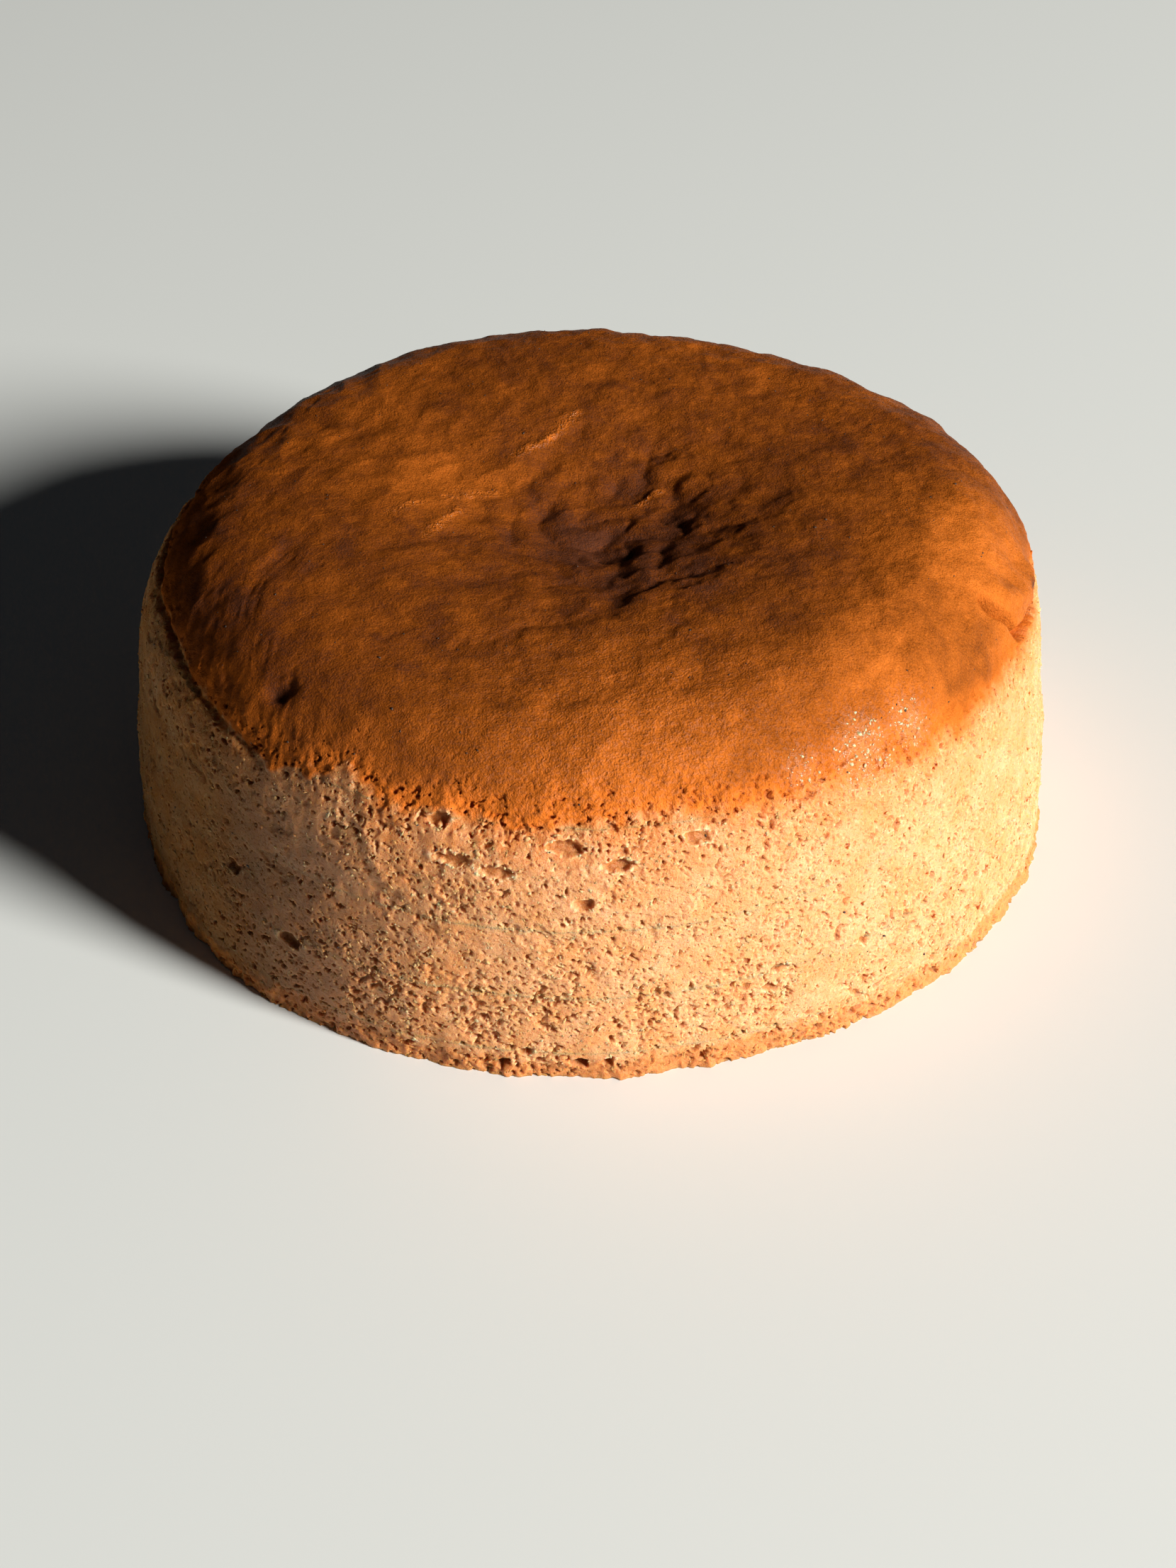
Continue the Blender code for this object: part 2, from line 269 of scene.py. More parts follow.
crustLook = {
    # Inside this radius all is crust
    "topRadius": 50.0,
    # Height of the crust's lower edge round the cake, as azimuth and height
    "edgeLine": (
        (-180.0, 47.3), (-157.0, 47.6), (-148.0, 46.2), (-140.0, 45.5), (-132.0, 44.2), (-126.0, 46.0),
        (-121.0, 47.6), (-117.0, 46.5), (-116.0, 44.6), (-108.0, 46.2), (-103.0, 45.8), (-99.5, 44.4),
        (-96.0, 46.0), (-85.0, 46.6), (-73.0, 45.3), (-63.0, 44.1), (-50.0, 42.5), (-39.0, 40.7),
        (-27.0, 40.1), (-21.0, 40.6), (-14.0, 38.5), (0.0, 38.5), (30.0, 41.0), (80.0, 44.0),
        (120.0, 46.0), (160.0, 47.0), (180.0, 47.3),
    ),
    # Width that the crust thins out over at its edge, as azimuth and width
    "edgeFade": (
        (-180.0, 1.0), (-125.0, 1.2), (-113.0, 2.0), (-90.0, 3.0), (-60.0, 4.0), (-30.0, 5.0), (0.0, 5.0),
        (40.0, 3.0), (120.0, 1.2), (180.0, 1.0),
    ),
    "edgeRagged": ((5.0, 1.3), (1.9, 1.2), (0.8, 0.7)),
    "edgeReach": 12.0,
    # How strongly the edge glows orange, as azimuth and share
    "orangeShare": (
        (-180.0, 0.3), (-128.0, 0.45), (-113.0, 1.0), (-60.0, 1.0), (-35.0, 0.8), (0.0, 0.7), (40.0, 0.45),
        (120.0, 0.3), (180.0, 0.3),
    ),
    "orangeMiddle": 0.4,
    "orangeReach": 3.2,
    "edgeDrop": 1.2,
    "tintReach": 11.0,
    # Lumps along the edge: how far they reach, then scale and size
    "bandReach": 3.5,
    "bandLumps": ((2.2, 0.3), (0.9, 0.2)),
    # The crumpled bowl in the middle, pillowed between creases
    "bowlCentre": (4.0, -1.0),
    "bowlRadius": 20.0,
    "bowlDepth": 1.6,
    "bowlPillow": 1.9,
    "bowlPillowScale": 6.0,
    "bowlPillowMiddle": 0.2,
    # Painted shade along the creases between the pillows: how dark, and how narrow
    "bowlCreaseShade": 0.5,
    "bowlCreaseShadeWidth": 0.08,
    "creaseWander": ((4.5, 2.2), (1.8, 0.8)),
    # Creases: start, end, half width, depth. The side towards the light stands up as a lip.
    "creases": (
        ((12.8, 18.2), (7.6, 9.8), 1.0, 1.3),
        ((16.0, 6.4), (14.9, -3.1), 1.1, 1.5),
        ((14.9, -3.1), (12.6, 1.7), 0.8, 0.7),
        ((0.8, -3.6), (3.6, -8.4), 1.2, 1.6),
        ((3.6, -8.4), (8.4, -11.4), 1.0, 1.2),
        ((8.0, -24.0), (13.4, -22.0), 1.0, 1.1),
        ((13.4, -22.0), (21.0, -20.0), 1.0, 1.3),
        ((5.2, -17.4), (3.8, -31.0), 1.1, 1.4),
        ((-2.6, -19.4), (0.6, -20.8), 1.1, 1.1),
        ((-5.2, 4.0), (-2.4, -0.6), 0.9, 0.9),
        ((-8.5, 11.0), (-7.6, 2.2), 0.8, 0.8),
        ((-6.0, 17.0), (-8.5, 11.0), 0.8, 0.6),
        ((10.8, -39.6), (14.6, -33.4), 0.8, 0.8),
        ((28.8, -1.2), (32.4, 3.0), 0.9, 0.7),
        ((21.0, -8.4), (26.6, -6.6), 0.8, 0.6),
        ((-19.2, -41.1), (-8.4, -34.7), 0.9, 0.6),
        ((-8.4, -34.7), (2.0, -32.4), 0.9, 0.6),
        ((-31.0, -12.0), (-23.5, -7.5), 0.8, 0.6),
        ((-52.0, -22.0), (-47.0, -13.5), 0.9, 0.7),
        ((-40.0, 22.0), (-34.0, 27.0), 0.8, 0.5),
    ),
    "lipShare": 0.45,
    "lipOffset": 1.9,
    "lipSpread": 1.2,
    "creaseWiden": 2.3,
    "creaseDepth": 0.44,
    # Thin raised ridges that glint: start, end, half width, height
    "ridges": (
        ((-0.4, 28.8), (-5.2, 22.4), 0.9, 0.25),
        ((-5.2, 22.4), (-11.4, 17.6), 0.9, 0.28),
        ((-22.0, 4.4), (-14.4, 7.6), 0.9, 0.28),
        ((-25.0, -8.0), (-20.4, 1.0), 0.9, 0.22),
        ((-31.0, -2.0), (-27.0, 2.0), 0.8, 0.2),
        ((9.0, 6.0), (12.5, 8.6), 0.8, 0.2),
    ),
    # Short broken wrinkles: along, across, depth and seed. They turn upright towards the left rim.
    "wrinkles": ((7.0, 3.2, 0.1, 3.0), (3.8, 1.9, 0.03, 14.0)),
    "wrinkleWidth": 0.3,
    "wrinkleSwell": 0.5,
    "wrinkleBend": (26.0, 9.0),
    "wrinkleHeading": 30.0,
    "wrinkleRimHeading": 66.0,
    "wrinkleRimStart": 40.0,
    "wrinkleRimReach": 24.0,
    "wrinkleRightEnd": 30.0,
    "wrinkleFade": 55.0,
    "wrinkleRightShare": 0.7,
    # How much of the wrinkles' depth darkens the crust as painted shade
    "wrinkleShade": 1.4,
    # Scallops round the rim: scale and size, then where they are strongest
    "scallops": (7.0, 0.45),
    "scallopSharpness": 2.6,
    "scallopMiddle": 0.4,
    "scallopAzimuth": 150.0,
    "scallopSpread": 55.0,
    "scallopLeast": 0.2,
    "scallopRim": 49.5,
    "scallopReach": 8.0,
    # A pit at the left: place, half width and depth
    "pit": ((-46.2, -44.9), 1.9, 1.3),
    # The notch at the right rim, and the raised lip above it
    "notch": (
        (62.0, -23.0, 48.8), (63.8, -22.9, 47.5), (65.9, -21.9, 44.8), (68.2, -21.3, 41.4),
        (69.9, -17.6, 40.1), (71.3, -12.9, 39.7), (72.9, -8.0, 38.4), (74.0, -4.2, 37.4),
    ),
    "notchLip": ((66.0, -18.2, 46.6), (69.2, -15.4, 44.6), (71.0, -10.0, 43.0), (72.2, -5.0, 42.6)),
    "notchHalfWidth": 0.9,
    "notchDepth": 3.0,
    "notchToast": 0.08,
    "lipHalfWidth": 2.4,
    "lipHeight": 1.4,
    # A scorched spot above the notch: place, reach and amount
    "scorch": ((72.4, -9.0, 41.8), 1.9, 1.0),
    "skin": ((8.0, 0.34), (3.2, 0.16), (1.5, 0.08), (0.75, 0.045)),
    # Left and right share of the fine skin, and where and how it changes over
    "skinShare": (0.9, 1.5),
    "skinLeft": -40.0,
    "skinFade": 60.0,
    # How dark the bake is, from 0 to 1: level, then patches as x, y, reach and amount
    "toastLevel": 0.67,
    # The last three toast patches, along the left rim, are painted shadow of its scallops
    "toastPatches": (
        (6.0, -10.0, 21.0, 0.19), (8.0, -68.0, 24.0, -0.54), (48.0, -51.0, 15.0, -0.5),
        (68.0, -14.0, 18.0, -0.56), (-22.0, 8.0, 12.0, -0.27), (-34.0, 34.0, 26.0, -0.16),
        (-34.0, -52.0, 16.0, -0.03), (24.0, 50.0, 26.0, -0.1), (-62.0, -24.0, 12.0, 0.22),
        (-66.0, 6.0, 12.0, 0.22), (-58.0, 34.0, 11.0, 0.18),
    ),
    "toastMottle": ((16.0, 0.1), (5.0, 0.18), (2.2, 0.13), (1.0, 0.08)),
    # Painted shade in creases, wrinkles, the pit and the notch's gap: how much darker the crust is there
    "creaseShade": 0.21,
    # Glittering patches: place, reach and amount
    "glossPatches": (
        ((41.0, -57.5, 46.2), 6.0, 1.0), ((48.0, -50.0, 45.6), 4.5, 0.9), ((31.0, -62.5, 46.5), 5.0, 0.6),
        ((6.0, -58.0, 52.0), 26.0, 0.3),
    ),
    "glossLumps": ((1.1, 0.2), (0.6, 0.14)),
    # In these patches the crust is thin outside this radius
    "glossBare": 0.6,
    "glossLeast": 0.3,
    "glossRadius": 55.0,
    "ridgeGloss": 1.0,
    "ridgeRough": 0.25,
    # Painted highlight: the bake made lighter along the ridges, standing in for their glints
    "ridgeHighlight": 0.4,
    # The crust's shine is lost towards the left: where it is whole, and how far it fades
    "shineEnd": -38.0,
    "shineFade": 22.0,
}


def crustEdge(spots, azimuth):
    # Height above the crust's ragged edge
    look = crustLook
    above = spots[:, 2] - tableAt(look["edgeLine"], azimuth) + look["edgeDrop"]
    near = np.abs(above) < look["edgeReach"]
    for scale, size in look["edgeRagged"]:
        above[near] += size * noiseAt(spots[near], scale, 3.7)
    above[radiusOf(spots) < look["topRadius"]] = 20.0
    return above


def creaseRelief(flat, start, end, halfWidth, depth):
    # A groove with a lip along the side that faces the light
    along = np.array(end) - np.array(start)
    across = np.array((along[1], -along[0])) / np.linalg.norm(along)
    light = math.radians(stageLook["keyAzimuth"])
    if across[0] * math.cos(light) + across[1] * math.sin(light) < 0.0:
        across = -across
    offset = crustLook["lipOffset"] * halfWidth * across
    away = distanceToRun(flat, np.array(start) + offset, np.array(end) + offset)
    lip = bump(away, crustLook["lipSpread"] * halfWidth)
    groove = bump(distanceToRun(flat, start, end), halfWidth)
    return depth * (crustLook["lipShare"] * lip - groove), groove * depth


def wrinkleRelief(spots):
    # Creases along the lines where stretched noise passes through 0, broken up by a coarser noise
    look = crustLook
    rim = easeStep((-spots[:, 0] - look["wrinkleRimStart"]) / look["wrinkleRimReach"])
    heading, rimHeading = look["wrinkleHeading"], look["wrinkleRimHeading"]
    heading = np.radians(heading + (rimHeading - heading) * rim)
    scale, size = look["wrinkleBend"]
    bend = size * np.stack([noiseAt(spots, scale, 2.2), noiseAt(spots, scale, 7.7)], axis=1)
    flat = spots[:, :2] + bend
    depth = np.zeros(len(spots))
    for length, width, size, seed in look["wrinkles"]:
        along = (flat[:, 0] * np.cos(heading) + flat[:, 1] * np.sin(heading)) / length
        across = (flat[:, 1] * np.cos(heading) - flat[:, 0] * np.sin(heading)) / width
        wave = noiseAt(np.stack([along, across, spots[:, 2] / length], axis=1), 1.0, seed)
        broken = easeStep(noiseAt(spots, 0.7 * length, seed + 4.0) * 3.0 + 0.3)
        depth += size * broken * bump(wave, look["wrinkleWidth"])
        depth -= look["wrinkleSwell"] * size * wave
    left = easeStep((look["wrinkleRightEnd"] - spots[:, 0]) / look["wrinkleFade"])
    share = look["wrinkleRightShare"] + (1.0 - look["wrinkleRightShare"]) * left
    return depth * share


def crustRelief(spots):
    # How far the crust stands up or sinks, and how deep in a crease each spot is, which sets the painted
    # crease shade
    look = crustLook
    flat = spots[:, :2]
    middle = bump(distanceTo(flat, look["bowlCentre"]), look["bowlRadius"])
    wave = np.abs(noiseAt(spots, look["bowlPillowScale"], 6.0))
    relief = middle * (look["bowlPillow"] * (wave - look["bowlPillowMiddle"]) - look["bowlDepth"])
    # Painted shade along the bowl's pillow creases
    crease = look["bowlCreaseShade"] * middle * np.exp(-wave / look["bowlCreaseShadeWidth"])
    for scale, size in look["creaseWander"]:
        flat = flat + size * np.stack([noiseAt(spots, scale, 41.0), noiseAt(spots, scale, 47.0)], axis=1)
    for start, end, halfWidth, depth in look["creases"]:
        rise, inside = creaseRelief(
            flat, start, end, look["creaseWiden"] * halfWidth, look["creaseDepth"] * depth
        )
        relief += rise
        crease = np.maximum(crease, inside)
    for start, end, halfWidth, height in look["ridges"]:
        relief += height * bump(distanceToRun(flat, start, end), halfWidth)
    rough = glossMap(spots) * np.where(radiusOf(spots) < look["topRadius"], look["ridgeRough"], 1.0)
    for scale, size in look["glossLumps"]:
        relief += size * rough * noiseAt(spots, scale, 33.0)
    wrinkle = wrinkleRelief(spots)
    place, halfWidth, depth = look["pit"]
    pit = depth * bump(distanceTo(flat, place), halfWidth)
    relief -= wrinkle + pit
    low, high = look["skinShare"]
    share = low + (high - low) * easeStep((spots[:, 0] - look["skinLeft"]) / look["skinFade"])
    for scale, size in look["skin"]:
        relief += size * noiseAt(spots, scale, 8.1) * share
    return relief, np.maximum(crease, np.maximum(look["wrinkleShade"] * wrinkle, pit))


def rimRelief(spots, azimuth):
    # Scallops round the crust's rim, and the notch at its right: their relief, and how deep in the notch
    look = crustLook
    scale, size = look["scallops"]
    away = turnTo(azimuth, look["scallopAzimuth"])
    share = look["scallopLeast"] + (1.0 - look["scallopLeast"]) * bump(away, look["scallopSpread"])
    rim = bump(spots[:, 2] - look["scallopRim"], look["scallopReach"])
    wave = 1.0 - look["scallopSharpness"] * np.abs(noiseAt(spots * (1.0, 1.0, 0.5), scale, 1.9))
    relief = size * share * rim * (wave - look["scallopMiddle"])
    gap = bump(distanceToPath(spots, look["notch"]), look["notchHalfWidth"])
    lip = bump(distanceToPath(spots, look["notchLip"]), look["lipHalfWidth"])
    return relief + look["lipHeight"] * lip - look["notchDepth"] * gap, gap


def scorchMap(spots):
    place, reach, amount = crustLook["scorch"]
    return amount * bump(distanceTo(spots, place), reach)


def toastMap(spots):
    # How dark the crust is baked, before the painted crease shade darkens it further
    toast = np.full(len(spots), crustLook["toastLevel"])
    # Patches of bake; those along the left rim are painted shadow of its scallops
    for x, y, reach, amount in crustLook["toastPatches"]:
        toast += amount * bump(radiusOf(spots - (x, y, 0.0)), reach)
    for scale, size in crustLook["toastMottle"]:
        toast += size * noiseAt(spots, scale, 31.0)
    # Painted highlight: lighter along the ridges, for their glints
    for start, end, halfWidth, _ in crustLook["ridges"]:
        toast -= crustLook["ridgeHighlight"] * bump(distanceToRun(spots[:, :2], start, end), halfWidth)
    return toast + scorchMap(spots)


def glossMap(spots):
    # Buttery patches and ridges that glitter
    gloss = np.zeros(len(spots))
    for place, reach, amount in crustLook["glossPatches"]:
        gloss = np.maximum(gloss, amount * bump(distanceTo(spots, place), reach))
    for start, end, halfWidth, _ in crustLook["ridges"]:
        line = bump(distanceToRun(spots[:, :2], start, end), halfWidth)
        gloss = np.maximum(gloss, crustLook["ridgeGloss"] * line)
    return gloss


# The torn crumb of the side

crumbLook = {
    # Lumps as scale and size. The broad ones run on under the crust and all fade out at the crown.
    "lumps": ((18.0, 0.5), (6.0, 0.3), (3.0, 0.2), (1.3, 0.1), (0.7, 0.09)),
    "lumpsBroad": 5.0,
    "lumpsEnd": 54.0,
    "lumpsFade": 8.0,
    # How far pores reach up past the crust's edge, and how much farther at the front
    "porousStart": 0.5,
    "porousReach": 3.0,
    "porousFront": (-88.0, 45.0, 4.0),
    # Pores are flatter than wide, and noise pulls them about
    "flatten": 1.45,
    "warp": (1.2, 0.3),
    # Pores cut where noise passes a level: grains as scale and weight, depth, softness of the wall, seed
    "pores": (
        (((1.55, 1.0), (0.75, 0.75), (0.42, 0.35)), 0.7, 0.14, 3.0),
        (((0.65, 1.0), (0.4, 0.5)), 0.34, 0.18, 15.0),
    ),
    # Share of the side that the two kinds of pore take up, by height
    "poreShare": (
        (0.0, 0.19, 0.12), (13.0, 0.19, 0.13), (22.0, 0.11, 0.13), (30.0, 0.06, 0.11), (37.0, 0.07, 0.11),
        (43.0, 0.1, 0.11), (50.0, 0.08, 0.1),
    ),
    # How much of that share is left, by azimuth: the far left is smoother
    "poreRound": ((-180.0, 0.2), (-150.0, 0.22), (-122.0, 0.5), (-110.0, 1.0), (20.0, 0.9), (180.0, 0.2)),
    "porePatches": (9.0, 1.0),
    "patchRange": (0.25, 1.8),
    # Shallow torn steps: grains, depth, softness, seed, and the share of the side by height
    "steps": (((5.0, 1.0), (1.8, 0.6), (0.8, 0.3)), 0.25, 0.2, 51.0),
    "stepShare": ((0.0, 0.1), (20.0, 0.12), (33.0, 0.2), (40.0, 0.32), (50.0, 0.32)),
    # The torn fringe round a pore: where it lies, how wide, how broken and how high
    "fringeOffset": 0.1,
    "fringeWidth": 0.07,
    "fringeBreaks": (0.8, 2.4, 0.5),
    "fringeDepth": 0.3,
    "fringeShare": 0.9,
    "stepFringe": 0.08,
    "rimHeight": 0.13,
    "hollowFull": 0.95,
    # Large holes that show: azimuth, height, half length, half width, depth
    "cavities": (
        (-108.0, 44.0, 1.7, 0.9, 1.0), (-93.0, 41.9, 2.5, 1.0, 1.2), (-106.0, 38.7, 2.9, 0.8, 0.9),
        (-101.0, 37.7, 2.4, 0.8, 0.8), (-87.0, 39.1, 2.1, 1.0, 1.1), (-91.0, 33.1, 1.5, 1.0, 1.0),
        (-70.0, 12.9, 1.6, 0.8, 1.1), (-69.0, 16.6, 1.4, 0.7, 1.0), (-58.0, 16.0, 1.3, 0.7, 1.0),
        (-36.0, 12.6, 1.3, 0.7, 1.0), (-52.0, 33.0, 1.6, 0.6, 0.8), (-78.0, 42.0, 1.9, 0.8, 0.8),
        (-112.0, 3.4, 0.9, 0.6, 1.2), (-101.0, 2.4, 1.2, 0.8, 1.5), (-98.0, 5.0, 1.0, 0.7, 1.2),
        (-92.0, 3.0, 1.1, 0.8, 1.5), (-89.0, 3.2, 0.9, 0.7, 1.3), (-78.0, 2.2, 1.1, 0.7, 1.4),
        (-128.0, 15.0, 2.2, 1.1, 1.0), (-138.0, 22.0, 1.8, 0.9, 0.8), (150.0, 20.0, 2.4, 1.2, 1.1),
        (95.0, 30.0, 2.6, 1.1, 1.1), (60.0, 12.0, 1.9, 1.0, 1.0), (20.0, 36.0, 1.8, 0.9, 0.9),
    ),
    "cavityReach": (5.0, 4.0),
    "cavityWarp": 0.7,
    "cavityWall": (1.15, 0.45),
    "cavityFringe": (1.25, 0.2),
    # Share of painted shade on the crumb by azimuth: darker on the left and back, away from the key light,
    # but less so high up
    "paintedShade": (
        (-180.0, 1.0), (-150.0, 0.95), (-134.0, 0.92), (-126.0, 0.74), (-119.0, 0.44), (-112.0, 0.22),
        (-107.0, 0.0), (60.0, 0.0), (110.0, 0.7), (180.0, 1.0),
    ),
    "paintedShadeStart": 32.0,
    "paintedShadeFade": 8.0,
    "paintedShadeHigh": 0.3,
    # A warmer patch: azimuth, reach and amount
    "warm": (-117.0, 17.0, 0.5),
    # A thin raised seam, and the groove under the crust's overhang, as azimuths and heights
    "seam": ((-117.0, 40.3), (-116.0, 36.0), (-114.0, 32.6)),
    "seamHalfWidth": 1.1,
    "seamHeight": 0.4,
    "groove": (
        (-200.0, 46.2), (-174.0, 46.2), (-157.0, 46.4), (-148.0, 45.0), (-140.0, 44.2), (-134.0, 42.8),
    ),
    "grooveHalfWidth": 0.8,
    "grooveDepth": 1.2,
    # How much the groove counts as hollow, for the painted shade under the crust's overhang
    "grooveShade": 0.4,
}


def ringPoint(azimuth, height):
    # The spot on the cake's side at this azimuth and height
    turn = math.radians(azimuth)
    radius = float(sideRadius(height))
    if height > cakeForm["shoulderHeight"]:
        points = [shoulderPoint(index / 60.0) for index in range(61)][::-1]
        radius = float(np.interp(height, [point[1] for point in points], [point[0] for point in points]))
    return radius * math.cos(turn), radius * math.sin(turn), height


def ringBump(spots, points, halfWidth):
    # 1 along a path of azimuths and heights, 0 away from it
    return bump(distanceToPath(spots, [ringPoint(*point) for point in points]), halfWidth)


def grainSum(spots, grains, seed):
    return sum(weight * noiseAt(spots, scale, seed) for scale, weight in grains)


def cutWhere(field, share, softness):
    # 1 where the field is in its top share, 0 elsewhere, and a fringe just outside
    levels = np.linspace(0.0, 1.0, 201)
    over = field - np.interp(1.0 - share, levels, np.quantile(field, levels))
    return easeStep(over / softness + 0.2), bump(over + crumbLook["fringeOffset"], crumbLook["fringeWidth"])


def cutCavities(azimuth, height, warp, depth, fringe):
    # Cuts the large holes into depth, and stands a torn edge round each in fringe
    look = crumbLook
    turnReach, heightReach = look["cavityReach"]
    wall, soft = look["cavityWall"]
    rim, spread = look["cavityFringe"]
    for place, centre, halfLength, halfWidth, hole in look["cavities"]:
        near = (np.abs(turnTo(azimuth, place)) < turnReach) & (np.abs(height - centre) < heightReach)
        along = np.radians(turnTo(azimuth[near], place)) * cakeForm["baseRadius"] + warp[near, 0]
        across = height[near] - centre + look["cavityWarp"] * warp[near, 1]
        offset = np.hypot(along / halfLength, across / halfWidth)
        depth[near] = np.maximum(depth[near], hole * easeStep((wall - offset) / soft))
        fringe[near] = np.maximum(fringe[near], bump((offset - rim) * halfWidth, spread))


def crumbRelief(spots, azimuth):
    # Pores and torn steps of the crumb: how deep they are, and where their torn fringes stand up
    look = crumbLook
    height = spots[:, 2]
    size, amount = look["warp"]
    warp = np.stack([noiseAt(spots, size, shift) for shift in (5.0, 17.0, 29.0)], axis=1)
    warped = (spots + amount * warp) * (1.0, 1.0, look["flatten"])
    patchSize, patchDepth = look["porePatches"]
    patchy = np.clip(1.0 + patchDepth * noiseAt(spots, patchSize, 63.0), *look["patchRange"])
    patchy *= tableAt(look["poreRound"], azimuth)
    depth = np.zeros(len(spots))
    fringe = np.zeros(len(spots))
    for column, (grains, deep, softness, seed) in enumerate(look["pores"], 1):
        share = tableAt(look["poreShare"], height, column) * patchy
        cut, edge = cutWhere(grainSum(warped, grains, seed), share, softness)
        depth = np.maximum(depth, deep * cut)
        fringe = np.maximum(fringe, edge * deep)
    cutCavities(azimuth, height, warp, depth, fringe)
    grain, contrast, middle = look["fringeBreaks"]
    broken = easeStep(noiseAt(spots, grain, 5.5) * contrast + middle)
    fringe *= broken * np.clip(1.0 - depth / look["fringeDepth"], 0.0, 1.0)
    grains, deep, softness, seed = look["steps"]
    cut, edge = cutWhere(grainSum(spots, grains, seed), tableAt(look["stepShare"], height), softness)
    torn = look["fringeShare"] * fringe + look["stepFringe"] * edge * (1.0 - cut)
    return depth, deep * cut, torn


# The browned foot

footLook = {
    "height": 3.6,
    "edgeFade": 0.7,
    "reach": 9.0,
    "wander": ((9.0, 1.3), (2.4, 1.6), (0.9, 0.8)),
    "ragged": ((6.0, 0.5), (1.3, 0.3), (0.6, 0.1)),
    # How dark it is, as azimuth and share: darkest at the left and back, lightest near the front right
    "toast": (
        (-180.0, 0.6), (-125.0, 0.55), (-105.0, 0.3), (-70.0, 0.15), (-30.0, 0.05), (30.0, 0.2),
        (180.0, 0.6),
    ),
}


# The steps that shape the dense body. Each adds to the relief, the distance that a spot moves outwards.

def layCrust(spots, azimuth):
    # Where crust, orange edge, warm crumb, the band along the edge and porous crumb lie, from 0 to 1
    look = crustLook
    above = crustEdge(spots, azimuth)
    scorch = scorchMap(spots)
    share = tableAt(look["orangeShare"], azimuth)
    crust = np.maximum(easeStep(above / tableAt(look["edgeFade"], azimuth) + 0.5), scorch)
    orange = share * bump(above - look["orangeMiddle"], look["orangeReach"]) * (1.0 - scorch)
    place, reach, amount = crumbLook["warm"]
    tint = share * easeStep((above + look["tintReach"]) / look["tintReach"])
    tint = np.maximum(tint, amount * bump(turnTo(azimuth, place), reach))
    place, reach, amount = crumbLook["porousFront"]
    width = crumbLook["porousReach"] + amount * bump(turnTo(azimuth, place), reach)
    porous = 1.0 - easeStep((above - crumbLook["porousStart"]) / width)
    return crust, orange, tint, bump(above, look["bandReach"]), porous


def tearCrumb(spots, azimuth, upper, band, porous):
    look = crumbLook
    height = spots[:, 2]
    hollow, steps, torn, relief, groove, seam = np.zeros((6, len(spots)))
    low = porous > 0.001
    hollow[low], steps[low], torn[low] = crumbRelief(spots[low], azimuth[low])
    hollow *= porous
    torn *= porous
    relief -= steps * porous
    side = height < look["lumpsEnd"]
    fall = easeStep((look["lumpsEnd"] - height[side]) / look["lumpsFade"])
    for scale, size in look["lumps"]:
        share = fall if scale > look["lumpsBroad"] else fall * porous[side]
        relief[side] += size * noiseAt(spots[side], scale) * share
    near = band > 0.01
    for scale, size in crustLook["bandLumps"]:
        relief[near] += size * band[near] * noiseAt(spots[near], scale, 12.0)
    groove[upper] = ringBump(spots[upper], look["groove"], look["grooveHalfWidth"])
    seam[upper] = ringBump(spots[upper], look["seam"], look["seamHalfWidth"])
    relief += look["rimHeight"] * torn - hollow
    relief += look["seamHeight"] * seam - look["grooveDepth"] * groove
    # The hollow mark, which sets the painted shade in pores and in the groove under the overhang
    sunk = np.clip(hollow / look["hollowFull"] + look["grooveShade"] * groove, 0.0, 1.0)
    return relief, sunk, np.clip(torn, 0.0, 1.0)


def brownFoot(spots, relief):
    look = footLook
    foot = np.zeros(len(spots))
    near = spots[:, 2] < look["reach"]
    edge = look["edgeFade"]
    wander = np.zeros(near.sum())
    for scale, size in look["wander"]:
        wander += size * noiseAt(spots[near], scale, 4.4)
    foot[near] = 1.0 - easeStep((spots[near, 2] + wander - look["height"] + edge) / (2.0 * edge))
    for scale, size in look["ragged"]:
        relief[near] += size * noiseAt(spots[near], scale) * foot[near]
    return foot


def foldCrust(spots, azimuth, upper, crust, relief):
    crease = np.zeros(len(spots))
    top = crust > 0.001
    folds, crease[top] = crustRelief(spots[top])
    relief[top] += crust[top] * folds
    rimPart, gap = rimRelief(spots[upper], azimuth[upper])
    relief[upper] += rimPart
    crease[upper] = np.maximum(crease[upper], gap)
    toast = tableAt(footLook["toast"], azimuth)
    # Painted shade: the crust darker in creases, wrinkles, the pit and the notch's gap
    toast[top] = toastMap(spots[top]) + crustLook["creaseShade"] * crease[top]
    toast[upper] += crustLook["notchToast"] * gap
    return np.clip(toast, 0.0, 1.0)


